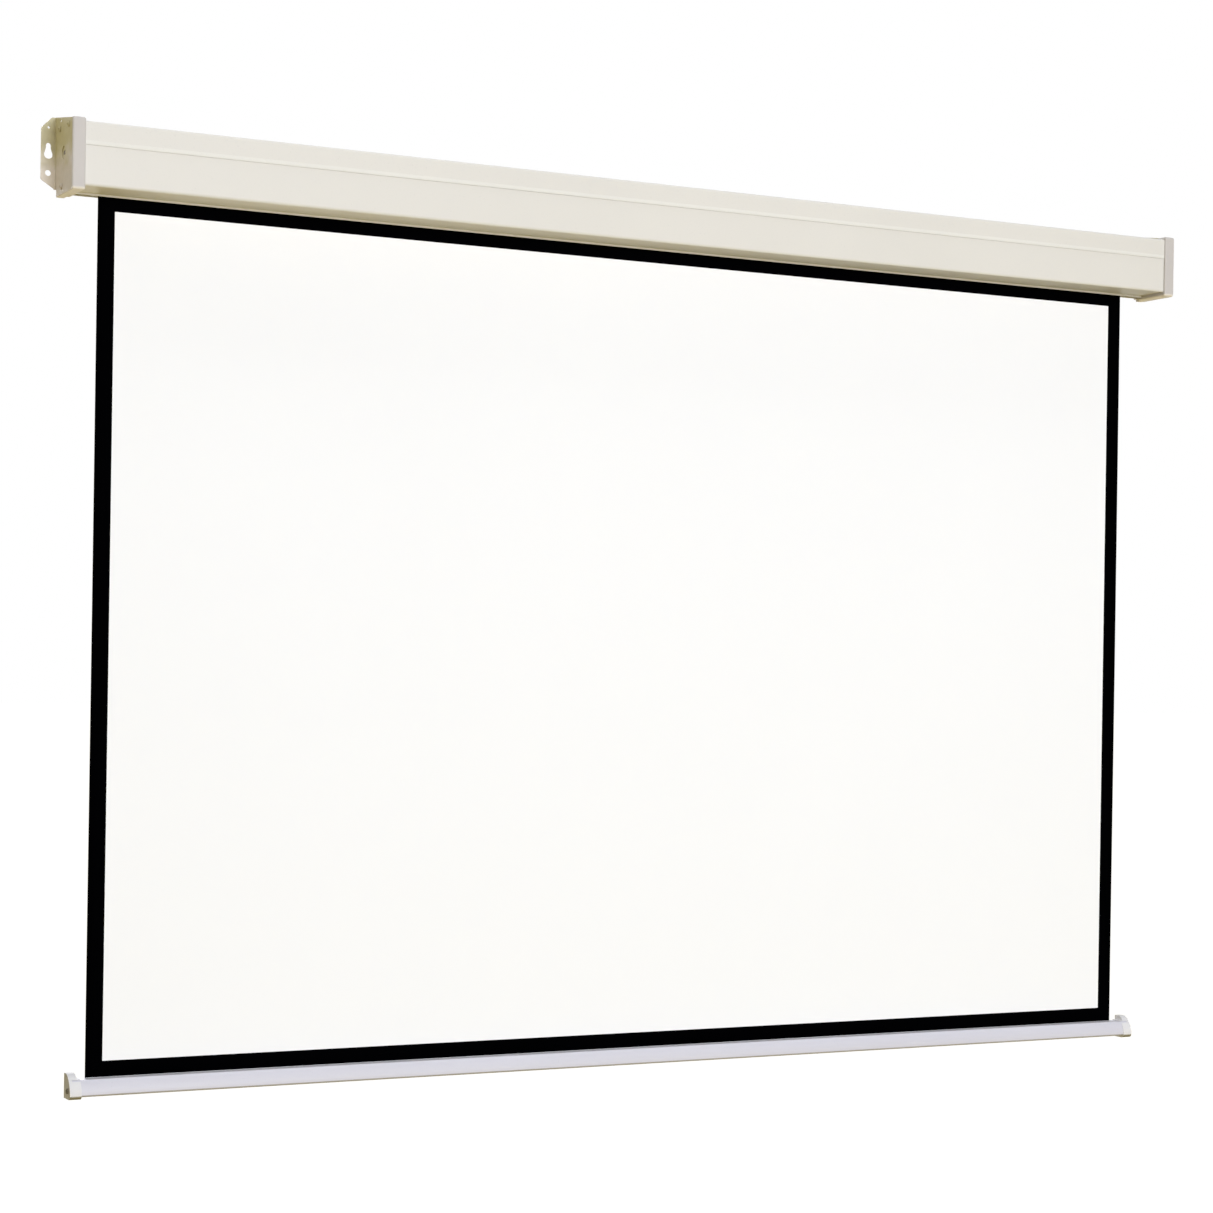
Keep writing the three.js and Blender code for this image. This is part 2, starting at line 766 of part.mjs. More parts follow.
const fixed = new THREE.Group();
fixed.position.copy(roller.position);
screen.add(fixed);
add(fixed, "spring_spindle", mirrored(spring_spindle()), finish.steel);
add(fixed, "ratchet_disc", mirrored(ratchet_disc()), finish.steel);
add(fixed, "spring_anchor", mirrored(spring_anchor()), finish.steel);
add(fixed, "anchor_pin", mirrored(anchor_pin()), finish.zinc);
add(fixed, "torsion_spring", mirrored(torsion_spring()), finish.steel);

// Flanged bush in the +X bracket.
const bush_inner_x = dish_inner_x - seat_gap - bush_flange_width;

function idle_bush() {
  const bore = shaft_radius + seat_gap;
  const flange_radius = tube_radius * bush_flange_share;
  return turned([
    [bush_inner_x, bore],
    [bush_inner_x, flange_radius],
    [dish_inner_x - seat_gap, flange_radius],
    [dish_inner_x - seat_gap, bush_radius],
    [cap_outer_x - dish_depth, bush_radius],
    [cap_outer_x - dish_depth, bore],
    [bush_inner_x, bore],
  ]);
}
add(fixed, "idle_bush", idle_bush(), finish.nylon);

// Roller: tube, end plugs, idle pin and the turns of fabric that stay on it.

function roller_tube() {
  const bore = tube_radius - tube_wall;
  return turned([
    [-tube_end_x, bore],
    [-tube_end_x, tube_radius],
    [tube_end_x, tube_radius],
    [tube_end_x, bore],
    [-tube_end_x, bore],
  ]);
}

// The last turns of fabric, a spiral that ends where the hanging sheet begins.
function fabric_wraps() {
  const outer = [];
  const inner = [];
  const count = wrap_turns * wrap_steps;
  for (let step = 0; step <= count; step += 1) {
    const turn = (Math.PI * 2 * step) / wrap_steps;
    const radius = wound_radius - (wrap_pitch * step) / wrap_steps;
    const direction = at(Math.cos(turn), Math.sin(turn));
    outer.push(direction.clone().multiplyScalar(radius));
    inner.push(direction.clone().multiplyScalar(radius - fabric_thickness));
  }
  return along_x(outer.concat(inner.reverse()), -fabric_width / 2, fabric_width / 2);
}

function plug_body() {
  const plug_radius = tube_radius - tube_wall - seat_gap;
  const flange_x = plug_face_x - plug_flange;
  return turned([
    [plug_inner_x, plug_radius - plug_wall],
    [plug_inner_x, plug_radius],
    [flange_x, plug_radius],
    [flange_x, tube_radius],
    [plug_face_x, tube_radius],
    [plug_face_x, shaft_radius + seat_gap],
    [web_inner_x, shaft_radius + seat_gap],
    [web_inner_x, plug_radius - plug_wall],
    [plug_inner_x, plug_radius - plug_wall],
  ]);
}

const pawl_places = [
  { label: "a", angle: Math.PI / 2 },
  { label: "b", angle: (Math.PI * 3) / 2 },
];

function ratchet_plug() {
  const pin_holes = pawl_places.map((place) => {
    const y = pawl_pivot_radius * Math.cos(place.angle);
    const z = pawl_pivot_radius * Math.sin(place.angle);
    const hole_radius = pawl_pin_radius + seat_gap;
    const flange_x = plug_face_x - plug_flange;
    return rod(hole_radius, flange_x, plug_face_x + overrun, y, z, small_sides);
  });
  const leg_angle = Math.PI * 2 * spring_turns;
  const leg_hole = rod(
    spring_hole,
    web_inner_x - overrun,
    plug_face_x + overrun,
    spring_radius * Math.cos(leg_angle),
    spring_radius * Math.sin(leg_angle),
    small_sides
  );
  return cut(plug_body(), [...pin_holes, leg_hole]);
}

// Bearing that carries the spindle's inner end in the middle of the tube.
function spindle_bearing() {
  const outer = tube_radius - tube_wall - seat_gap;
  const bore = shaft_radius + seat_gap;
  return turned([
    [bearing_inner_x, bore],
    [bearing_inner_x, outer],
    [bearing_outer_x, outer],
    [bearing_outer_x, bore],
    [bearing_inner_x, bore],
  ]);
}

// The pin's collar keeps the roller from sliding along its axis.
function idle_pin() {
  const collar_x = plug_face_x + seat_gap;
  const collar_end_x = bush_inner_x - seat_gap;
  const collar_radius = tube_radius * pin_collar_share;
  return turned([
    [plug_inner_x, 0],
    [plug_inner_x, shaft_radius],
    [collar_x, shaft_radius],
    [collar_x, collar_radius],
    [collar_end_x, collar_radius],
    [collar_end_x, shaft_radius],
    [cap_outer_x - dish_depth, shaft_radius],
    [cap_outer_x - dish_depth, 0],
  ]);
}

add(roller, "roller_tube", roller_tube(), finish.steel);
add(roller, "fabric_wraps", fabric_wraps(), finish.fabric);
add(roller, "ratchet_plug", mirrored(ratchet_plug()), finish.nylon);
add(roller, "spindle_bearing", mirrored(spindle_bearing()), finish.nylon);
add(roller, "idle_plug", plug_body(), finish.nylon);
add(roller, "idle_pin", idle_pin(), finish.zinc);

// Pawls: a lever with an eye at one end, on a headed pin in the plug's face. They are shown
// lifted clear of the ratchet, as they are while the roller turns fast.

function pawl() {
  const eye_radius = tube_radius * pawl_eye_share;
  const half_width = tube_radius * pawl_half_width_share;
  const length = tube_radius * pawl_length_share;
  const from_deg = THREE.MathUtils.radToDeg(Math.asin(half_width / eye_radius));
  const outline = arc_points(0, 0, eye_radius, from_deg, 360 - from_deg, small_sides);
  outline.push(at(length, -half_width), at(length, half_width));
  const inner_x = plug_face_x + seat_gap;
  const outer_x = inner_x + seat_gap + ratchet_width;
  const lever = along_x(outline, inner_x, outer_x);
  const bore_ends = [inner_x - overrun, outer_x + overrun];
  return cut(lever, [rod(pawl_pin_radius + seat_gap, ...bore_ends, 0, 0, small_sides)]);
}

function pawl_pin() {
  const foot_x = plug_face_x - plug_flange + seat_gap;
  const head_x = plug_face_x + seat_gap * 3 + ratchet_width;
  const head_radius = tube_radius * pawl_pin_head_share;
  return turned([
    [foot_x, 0],
    [foot_x, pawl_pin_radius],
    [head_x, pawl_pin_radius],
    [head_x, head_radius],
    [head_x + pawl_pin_head_width, head_radius],
    [head_x + pawl_pin_head_width, 0],
  ], small_sides);
}

for (const place of pawl_places) {
  const pivot = new THREE.Group();
  pivot.position.set(
    0,
    pawl_pivot_radius * Math.cos(place.angle),
    pawl_pivot_radius * Math.sin(place.angle)
  );
  roller.add(pivot);
  add(pivot, `pawl_pin_${place.label}`, mirrored(pawl_pin()), finish.zinc);
  const lever = add(pivot, `pawl_${place.label}`, mirrored(pawl()), finish.steel);
  lever.rotation.x = place.angle + Math.PI / 2 + radians(pawl_lifted_deg);
}

// Screen sheet: white picture, black borders printed on the front face. The back is white.

function screen_sheet() {
  const front_y = axis_y + wound_radius - fabric_thickness;
  const half_width = fabric_width / 2;
  const half_picture = picture_width / 2;
  const columns = [-half_width, -half_picture, half_picture, half_width];
  const rows = [bar_top + seat_gap, picture_foot, picture_top, axis_height - seat_gap];
  const cells = columns.length - 1;
  const geometry = new THREE.BoxGeometry(1, 1, 1, cells, 1, cells).toNonIndexed();
  const place = geometry.attributes.position;
  for (let corner = 0; corner < place.count; corner += 1) {
    const column = Math.round((place.getX(corner) + 0.5) * cells);
    const row = Math.round((place.getZ(corner) + 0.5) * cells);
    const behind = place.getY(corner) > 0 ? fabric_thickness : 0;
    place.setXYZ(corner, columns[column], front_y + behind, rows[row]);
  }
  const colors = [];
  for (let corner = 0; corner < place.count; corner += 3) {
    const middle = new THREE.Vector3();
    let is_front = true;
    for (let next = corner; next < corner + 3; next += 1) {
      middle.add(new THREE.Vector3().fromBufferAttribute(place, next));
      is_front = is_front && Math.abs(place.getY(next) - front_y) < fabric_thickness / 2;
    }
    middle.divideScalar(3);
    const in_width = Math.abs(middle.x) < half_picture;
    const in_height = middle.z < picture_top && middle.z > picture_foot;
    const is_black = is_front && !(in_width && in_height);
    const color = is_black ? border_black : picture_white;
    for (let next = 0; next < 3; next += 1) {
      colors.push(color.r, color.g, color.b);
    }
  }
  geometry.setAttribute("color", new THREE.Float32BufferAttribute(colors, 3));
  return geometry;
}

add(screen, "screen_sheet", screen_sheet(), finish.screen);

// Foot bar. Its group stands on the bar's underside, so heights are measured up from there.

const hem_y = axis_y + wound_radius - fabric_thickness / 2;
const hem_outer = hem_rod_radius + seat_gap + fabric_thickness;
const channel_radius = hem_outer + seat_gap + hem_channel_wall;
const hem_z = bar_height - channel_radius;
const bar_back = hem_y + channel_radius;
const bar_front = bar_back - bar_depth;
const bar_cap_outer_x = fabric_width / 2 + bar_overhang;
const bar_cap_rim_x = bar_cap_outer_x - bar_cap_width;
const bar_end_x = bar_cap_rim_x + bar_cap_width * bar_cap_entry_share;
const bar_port_y = bar_front + bar_depth * bar_port_share;

// A flat back and foot, and a bowed front that is deepest low down. The bar's top is a level cut
// across the same curve that its end caps follow up to their own top.
function bar_outline(stand_out, rear_stand_out, top, foot) {
  const back = bar_back + rear_stand_out;
  const front = bar_front - stand_out;
  const crest = bar_height + bar_cap_rise;
  const shoulder_y = back - bar_cap_top_depth;
  const brow = new THREE.CubicBezierCurve(
    at(shoulder_y, crest),
    at(shoulder_y + (front - shoulder_y) * brow_share, crest),
    at(front, bar_nose_height + (crest - bar_nose_height) * nose_share),
    at(front, bar_nose_height)
  );
  const underside = new THREE.QuadraticBezierCurve(
    at(front, bar_nose_height),
    at(front, foot),
    at(front + bar_foot_round + stand_out, foot)
  );
  const bow = brow.getPoints(arc_steps * 4);
  const first_low = Math.max(bow.findIndex((point) => point.y < top), 1);
  const [above, below] = [bow[first_low - 1], bow[first_low]];
  const share = (above.y - Math.min(top, crest)) / (above.y - below.y);
  const corner = above.clone().lerp(below, share);
  const outline = [
    at(back, foot),
    at(back, top),
    corner,
    ...bow.slice(first_low).filter((point) => point.distanceTo(corner) > bar_wall),
    ...underside.getPoints(arc_steps * 2).slice(1),
  ];
  return outline.filter((point, index, all) => {
    const next = all[(index + 1) % all.length];
    return point.distanceTo(next) > seat_gap / 2;
  });
}

function inside(outline, distance) {
  const facing = THREE.ShapeUtils.isClockWise(outline) ? -distance : distance;
  return moved_sideways(outline, facing, true);
}

function bar_profile() {
  const outline = bar_outline(0, 0, bar_height, 0);
  const shell = along_x(outline, -bar_end_x, bar_end_x);
  const room = along_x(inside(outline, bar_wall), -bar_end_x - overrun, bar_end_x + overrun);
  const walls = cut(shell, [room]);
  const channel = rod(channel_radius, -bar_end_x, bar_end_x, hem_y, hem_z);
  const ring_radius = port_bore + port_wall / 2;
  const ring = arc_points(bar_port_y, bar_port_height, ring_radius, 0, 360, small_sides);
  const port = along_x(strip(ring, port_wall), -bar_end_x, bar_end_x);
  const rib_outline = box_outline(
    bar_port_y - bar_wall / 2,
    bar_port_y + bar_wall / 2,
    bar_wall / 2,
    bar_port_height - port_bore - port_wall / 2
  );
  const rib = along_x(rib_outline, -bar_end_x, bar_end_x);
  const bore_ends = [-bar_end_x - overrun, bar_end_x + overrun];
  const bore = rod(channel_radius - hem_channel_wall, ...bore_ends, hem_y, hem_z);
  const throat_outline = box_outline(
    hem_y - fabric_thickness - seat_gap * 2,
    hem_y + fabric_thickness + seat_gap * 2,
    hem_z,
    bar_height + overrun
  );
  const throat = along_x(throat_outline, ...bore_ends);
  return cut(joined([walls, channel, port, rib]), [bore, throat]);
}

// End caps of the bar: taller and deeper than the bar, with a pocket that takes its end. The part
// above the bar stands back from the cap's rim.
function bar_cap() {
  const crest = bar_height + bar_cap_rise;
  const outer = bar_outline(bar_cap_stand_out, bar_cap_stand_out, crest, -bar_cap_drop);
  const block = along_x(outer, bar_cap_rim_x, bar_cap_outer_x, bar_cap_stand_out / 2);
  const pocket_outline = inside(bar_outline(0, 0, bar_height, 0), -seat_gap);
  const pocket = along_x(pocket_outline, bar_cap_rim_x - overrun, bar_end_x + seat_gap);
  const hole_ends = [bar_cap_rim_x, bar_cap_outer_x + overrun];
  const hole = rod(screw_radius + seat_gap, ...hole_ends, bar_port_y, bar_port_height, small_sides);
  const step_outline = box_outline(
    bar_front - bar_depth,
    bar_back + bar_depth,
    bar_height + bar_cap_stand_out,
    crest + overrun
  );
  const step_x = bar_cap_rim_x + bar_cap_step;
  const step = along_x(step_outline, bar_cap_rim_x - overrun, step_x);
  return cut(block, [pocket, hole, step]);
}

// The fabric's hem: two layers down the bar's throat and a loop round the rod.
function screen_hem() {
  const half_width = fabric_width / 2;
  const loop = rod(hem_outer, -half_width, half_width, hem_y, hem_z, small_sides);
  const neck_outline = box_outline(
    hem_y - fabric_thickness,
    hem_y + fabric_thickness,
    hem_z,
    bar_height
  );
  const neck = along_x(neck_outline, -half_width, half_width);
  const rod_room = rod(
    hem_rod_radius + seat_gap,
    -half_width - overrun,
    half_width + overrun,
    hem_y,
    hem_z,
    small_sides
  );
  return cut(joined([loop, neck]), [rod_room]);
}

add(bar, "bar_profile", bar_profile(), finish.bar);
add(bar, "bar_cap_left", mirrored(bar_cap()), finish.cap);
add(bar, "bar_cap_right", bar_cap(), finish.cap);
add(bar, "screen_hem", screen_hem(), finish.fabric);
const hem_rod = rod(hem_rod_radius, -fabric_width / 2, fabric_width / 2, hem_y, hem_z, small_sides);
add(bar, "hem_rod", hem_rod, finish.steel);
const bar_screw = pan_screw(bar_cap_outer_x + seat_gap);
for (const [label, geometry] of [["left", mirrored(bar_screw)], ["right", bar_screw]]) {
  const screw = add(bar, `bar_screw_${label}`, geometry, finish.zinc);
  screw.position.set(0, bar_port_y, bar_port_height);
}

export default screen;
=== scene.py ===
"""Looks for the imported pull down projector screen.

The CAD nodes keep their shapes and get procedural materials. The fabric is built here: the
hanging screen, the turns that stay on the roller and the hem round its rod. So is the thin bead
above the casing's seam.
Metres. +Z is up, the wall is the plane y = 0 and the front faces -Y.
"""

import json
import math

import bpy
import numpy as np
from mathutils import Matrix, Vector

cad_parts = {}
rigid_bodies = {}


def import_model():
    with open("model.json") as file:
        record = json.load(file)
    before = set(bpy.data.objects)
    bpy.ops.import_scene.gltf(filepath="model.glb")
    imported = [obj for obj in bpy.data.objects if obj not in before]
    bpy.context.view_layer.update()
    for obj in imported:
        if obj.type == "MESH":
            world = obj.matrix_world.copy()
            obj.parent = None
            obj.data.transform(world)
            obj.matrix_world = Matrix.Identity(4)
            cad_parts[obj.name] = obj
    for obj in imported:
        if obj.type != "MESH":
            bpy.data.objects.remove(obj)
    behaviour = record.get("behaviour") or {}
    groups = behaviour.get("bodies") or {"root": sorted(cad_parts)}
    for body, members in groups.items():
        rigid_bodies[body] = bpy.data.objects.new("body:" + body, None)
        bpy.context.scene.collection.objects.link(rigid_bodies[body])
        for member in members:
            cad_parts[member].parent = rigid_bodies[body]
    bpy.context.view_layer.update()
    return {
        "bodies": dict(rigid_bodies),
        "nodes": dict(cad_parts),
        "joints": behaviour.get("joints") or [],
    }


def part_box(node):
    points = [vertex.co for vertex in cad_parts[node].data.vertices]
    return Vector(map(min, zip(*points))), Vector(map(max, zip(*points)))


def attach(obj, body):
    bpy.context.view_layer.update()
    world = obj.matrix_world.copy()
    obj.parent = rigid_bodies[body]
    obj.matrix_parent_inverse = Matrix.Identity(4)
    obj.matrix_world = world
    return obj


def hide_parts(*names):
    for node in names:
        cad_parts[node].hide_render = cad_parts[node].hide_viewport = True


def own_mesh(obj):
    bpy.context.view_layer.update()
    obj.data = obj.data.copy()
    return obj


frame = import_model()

# The photograph's frame and the camera that fits it.
IMAGE_SIZE = 1213
FOCAL_PIXELS = 2716
SENSOR_WIDTH = 36
HORIZON_DROP = 69.94
CAMERA_PLACE = (-2.0193, -3.7452, -0.7121)
CAMERA_YAW = math.radians(27.449)
CAMERA_ROLL = math.radians(0.864)
MATRIX_SIZE = 4

# Printed picture.
PICTURE_WIDTH = 1.750
PICTURE_TOP = -0.066
PICTURE_FOOT = -1.266

# Fabric.
FABRIC = 0.0005
WRAP_TURNS = 2
WRAP_PITCH = 0.0008
WRAP_STEPS = 72
SHEET_COLUMNS = 96
SHEET_ROWS = 70
RIPPLE = 0.0007
RIPPLE_LENGTHS = (0.47, 0.31)
RIPPLE_PHASES = (0.7, 2.1)
EDGE_CURL = 0.0009
EDGE_CURL_REACH = 0.05
HEM_LOOP = 0.00255
HEM_STEPS = 28
HEM_LAYER_GAP = 0.00002

# Bead along the channel's front, just above its seam with the cover.
BEAD_FOOT = 0.0118
BEAD_CREST = 0.0140
BEAD_TOP = 0.0180
BEAD_PROUD = 0.0003
BEAD_SUNK = 0.0002
BEAD_END_GAP = 0.0003
BEAD_STEPS = 8

# The curve between screen values, 0 to 255, and light.
SCREEN_MAX = 255
CURVE_FOOT = 0.04045
CURVE_FOOT_SLOPE = 12.92
CURVE_OFFSET = 0.055
CURVE_POWER = 2.4

# Sockets of the mix node that carry colours.
MIX_FIRST = 6
MIX_SECOND = 7
MIX_RESULT = 2

# Noise: its detail, and the middle range in which most of its values lie.
SOFT_DETAIL = 2
RICH_DETAIL = 3
NOISE_ROUGHNESS = 0.5
NOISE_RANGE = (0.3, 0.7)

# Ranges of a wave and of a yes or no.
WAVE_RANGE = (-1, 1)
SWITCH_RANGE = (0, 1)

# Painted shade on the faces that look down, and on the caps painted light: how far down a
# face looks where its colour has changed, and where it begins to. The casing keeps its front
# colour further round its lower edge.
LOOKS_DOWN = (-0.3, -0.1)
LOOKS_UNDER = (-0.97, -0.75)

# Painted shade on the casing's underside, darker towards +X: where along X its tone begins
# to deepen and where it has, and the share of its light colour that is left there.
PAINTED_FALLOFF_SPAN = (-0.65, 0.4)
PAINTED_FALLOFF_SHARE = 0.72

# Paint: clouds, specks and orange peel.
PAINT_CLOUD_SCALE = 5
PAINT_SPECK_SCALE = 420
PAINT_SPECK_RANGE = (0.62, 0.8)
PAINT_SPECK_SHARE = 0.93
PAINT_GRAIN_SCALE = 900
PAINT_GRAIN_DEPTH = 0.00004
PAINT_GRAIN_STRENGTH = 0.6
PAINT_ROUGHNESS_REACH = 0.05
PAINT_GLOSS = 0.25

# Plastic: faint clouds and an etched grain.
PLASTIC_CLOUD_SCALE = 9
PLASTIC_SHARES = (0.98, 1.02)
PLASTIC_GRAIN_SCALE = 1400
PLASTIC_GRAIN_ROUGHNESS = 0.7
PLASTIC_GRAIN_DEPTH = 0.00003
PLASTIC_GRAIN_STRENGTH = 0.7
PLASTIC_ROUGHNESS_REACH = 0.06
PLASTIC_GLOSS = 0.25

# Metal: drawing lines and dull patches.
METAL_LINE_SCALE = 600
METAL_LINE_SHARES = (0.88, 1.06)
METAL_LINE_DEPTH = 0.00001
METAL_LINE_STRENGTH = 0.6
METAL_DULL_SCALE = 40
METAL_DULL_MOST = 0.5
METAL_DULL_SHARE = 0.8
METAL_SMOOTHER = 0.08
METAL_ROUGHER = 0.1
EVEN = (1, 1, 1)
DRAWN_ALONG_X = (0.04, 1, 1)

# Bracket colours: a cloudy stain with painted light and shade, olive high up and on faces
# that look aside, paler low down and on faces that look forward. Where its colours change
# over and how far the change wanders, how far forward a face looks where it has turned pale
# and where it begins to, and its clouds.
PAINTED_LIGHT_FOOT = -0.016
PAINTED_LIGHT_TOP = 0.014
PAINTED_LIGHT_WANDER = 0.012
LOOKS_FORWARD = (-0.9, -0.5)
STAIN_CLOUD_SCALE = 55
STAIN_PATCH_SCALE = 140
STAIN_SHARES = (0.9, 1.06)
STAIN_GRAIN_SCALE = 700
STAIN_GRAIN_DEPTH = 0.00002
STAIN_GRAIN_STRENGTH = 0.5
STAIN_ROUGHNESS_REACH = 0.08
STAIN_GLOSS = 0.3

# Weave of the fabric, on both sides.
THREAD_PITCH = 0.0009
THREAD_DEPTH = 0.00002
THREAD_STRENGTH = 0.5
THREAD_UNEVEN_SCALE = 90
THREAD_UNEVEN_LEAST = 0.6
CLOTH_CLOUD_SCALE = 3
KNOT_SHARE = 0.9

# Backing of the fabric.
BACKING_SHARES = (0.985, 1.01)
BACKING_KNOTS_MOST = 0.12
BACKING_ROUGHNESS = (0.86, 0.94)
BACKING_GLOSS = 0.1

# Printed face of the fabric.
INK_SHARES = (0.8, 1.3)
WHITE_SHARES = (0.995, 1)
PRINT_KNOTS_MOST = 0.03
WHITE_ROUGHNESS = 0.92
INK_ROUGHNESS = 0.7

# Colours as screen values, 0 to 255.
SCREEN_COLORS = {
    "casing": (224, 220, 211),
    # Painted shade on the casing's faces that look down.
    "casing_painted_shade": (214, 208, 190),
    # Painted highlight: the bead is paler than the casing.
    "bead": (229, 226, 217),
    "cap": (199, 193, 187),
    # Painted light: the caps are paler on the faces that look down.
    "cap_below": (236, 229, 218),
    # Bracket: painted shade high up and on faces that look aside, painted light low down and on
    # faces that look forward.
    "bracket_upper": (194, 184, 140),
    "bracket_lower": (211, 201, 187),
    "bracket_front_upper": (196, 187, 150),
    "bracket_front_lower": (232, 222, 208),
    "bar": (212, 210, 217),
    # Painted shade on the bar's faces that look down.
    "bar_painted_shade": (158, 153, 141),
    "bar_cap": (228, 226, 225),
    # Painted shade on the bar caps' faces that look down.
    "bar_cap_painted_shade": (126, 118, 86),
    # The bar screws are dark so they sink into the shade of the bar caps' sides: painted shade.
    "screw_in_painted_shade": (112, 104, 84),
    "zinc": (196, 197, 200),
    "steel": (152, 154, 158),
    "oiled": (116, 106, 88),
    "nylon": (232, 228, 216),
    "screen_white": (253, 253, 253),
    "screen_black": (2, 2, 3),
    "backing": (238, 238, 236),
}

# Surroundings, with colours as the shader takes them.
WHITE = (1, 1, 1, 1)
WORLD_COLOR = (1.0, 0.94, 0.74, 1)
WORLD_STRENGTH = 0.24
FLOOR_HEIGHT = -2.8
FLOOR_SIZE = 300
FLOOR_BOUNCE = (0.62, 0.49, 0.17, 1)
FLOOR_SEEN = (0.85, 0.85, 0.85, 1)
FLOOR_GLOW = 0.86
LAMPS = {
    "key": {
        "place": (0.2, -8.0, 0.5),
        "target": (0, 0, -0.6),
        "size": (3.6, 2.8),
        "watts": 556,
        "color": (0.805, 0.857, 1.0),
    },
    "top": {
        "place": (0, -0.5, 3.5),
        "target": (0, 0, 0),
        "size": (3.0, 1.5),
        "watts": 45,
        "color": (0.9, 0.95, 1.0),
    },
    "side": {
        "place": (-2.6, 0.1, 1.2),
        "target": (-0.95, -0.05, 0.1),
        "size": (0.8, 0.8),
        "watts": 1.35,
        "spread": math.radians(50),
    },
    "back": {
        "place": (0, 5.5, 1.5),
        "target": (0, 0, -0.4),
        "size": (3.0, 2.0),
        "watts": 262,
        "color": (0.88, 0.91, 1.0),
    },
}


def linear(red, green, blue):
    """A colour written as screen values, as the shader takes it."""
    values = []
    for value in (red, green, blue):
        share = value / SCREEN_MAX
        if share <= CURVE_FOOT:
            values.append(share / CURVE_FOOT_SLOPE)
        else:
            values.append(((share + CURVE_OFFSET) / (1 + CURVE_OFFSET)) ** CURVE_POWER)
    return (*values, 1)


def scaled(color, share):
    return (*(min(1, value * share) for value in color[:3]), 1)


def joint_named(name):
    return next(joint for joint in frame["joints"] if joint["name"] == name)


# Camera.


def make_camera():
    data = bpy.data.cameras.new("camera")
    data.sensor_width = SENSOR_WIDTH
    data.lens = SENSOR_WIDTH * FOCAL_PIXELS / IMAGE_SIZE
    data.shift_y = HORIZON_DROP / IMAGE_SIZE
    camera = bpy.data.objects.new("camera", data)
    bpy.context.scene.collection.objects.link(camera)
    turn = Matrix.Rotation(-CAMERA_YAW, MATRIX_SIZE, "Z")
    level = Matrix.Rotation(math.pi / 2, MATRIX_SIZE, "X")
    roll = Matrix.Rotation(CAMERA_ROLL, MATRIX_SIZE, "Z")
    camera.matrix_world = Matrix.Translation(CAMERA_PLACE) @ turn @ level @ roll
    bpy.context.scene.camera = camera


make_camera()

# Material building blocks.


class Shader:
    """One material's node tree, with a principled shader at its end."""

    def __init__(self, name):
        self.material = bpy.data.materials.new(name)
        self.material.use_nodes = True
        self.tree = self.material.node_tree
        self.tree.nodes.clear()
        self.surface = self.node("BsdfPrincipled")
        output = self.node("OutputMaterial")
        self.fill(output.inputs[0], self.surface.outputs[0])

    def node(self, kind, **settings):
        made = self.tree.nodes.new("ShaderNode" + kind)
        for key, value in settings.items():
            setattr(made, key, value)
        return made

    def fill(self, target, value):
        """Sets an input to a value, or links it to another node's output."""
        if isinstance(value, bpy.types.NodeSocket):
            self.tree.links.new(value, target)
        else:
            target.default_value = value

    def finish(self, **values):
        """Fills the surface's inputs by name, with _ for a space, and gives the material."""
        for name, value in values.items():
            self.fill(self.surface.inputs[name.replace("_", " ")], value)
        return self.material

    def place(self, body=None):
        """The coordinates of the frame, or those that move with a body."""
        coordinates = self.node("TexCoord")
        if body is not None:
            coordinates.object = frame["bodies"][body]
        return coordinates.outputs["Object"]

    def parts(self, vector):
        """The outputs X, Y and Z of a vector."""
        made = self.node("SeparateXYZ")
        self.fill(made.inputs[0], vector)
        return made.outputs

    def facing(self):
        """The outputs X, Y and Z of the direction in which a face looks."""
        return self.parts(self.node("NewGeometry").outputs["Normal"])

    def stretched(self, vector, scale):
        made = self.node("Mapping")
        self.fill(made.inputs["Vector"], vector)
        self.fill(made.inputs["Scale"], scale)
        return made.outputs["Vector"]

    def noise(self, vector, scale, detail=SOFT_DETAIL, roughness=NOISE_ROUGHNESS):
        made = self.node("TexNoise")
        self.fill(made.inputs["Vector"], vector)
        self.fill(made.inputs["Scale"], scale)
        self.fill(made.inputs["Detail"], detail)
        self.fill(made.inputs["Roughness"], roughness)
        return made.outputs["Fac"]

    def math(self, operation, first, second=0):
        made = self.node("Math", operation=operation)
        self.fill(made.inputs[0], first)
        self.fill(made.inputs[1], second)
        return made.outputs[0]

    def spread(self, value, low, high, span=NOISE_RANGE):
        """The value, with its span laid over low to high."""
        made = self.node("MapRange")
        self.fill(made.inputs["Value"], value)
        self.fill(made.inputs["From Min"], span[0])
        self.fill(made.inputs["From Max"], span[1])
        self.fill(made.inputs["To Min"], low)
        self.fill(made.inputs["To Max"], high)
        return made.outputs["Result"]

    def mixed(self, factor, first, second):
        made = self.node("Mix", data_type="RGBA")
        self.fill(made.inputs["Factor"], factor)
        self.fill(made.inputs[MIX_FIRST], first)
        self.fill(made.inputs[MIX_SECOND], second)
        return made.outputs[MIX_RESULT]

    def shaded(self, noise, color, shares):
        """The colour, from its first share to its second as the noise rises."""
        low, high = (scaled(color, share) for share in shares)
        return self.mixed(self.spread(noise, 0, 1), low, high)

    def bump(self, height, distance, strength):
        made = self.node("Bump")
        self.fill(made.inputs["Height"], height)
        self.fill(made.inputs["Distance"], distance)
        self.fill(made.inputs["Strength"], strength)
        return made.outputs["Normal"]

    def with_painted_falloff(self, color):
        """The colour, deeper in tone along X: painted shade."""
        share = self.spread(self.parts(self.place())["X"], 0, 1, PAINTED_FALLOFF_SPAN)
        return self.mixed(share, color, scaled(color, PAINTED_FALLOFF_SHARE))

    def painted_shading_below(self, tone, below, looks_down=LOOKS_DOWN):
        """The tone, with another colour on the faces that look down: painted shade, and painted
        light where that colour is paler.
        """
        if below is None:
            return tone
        share = self.spread(self.facing()["Z"], 1, 0, looks_down)
        return self.mixed(share, tone, below)


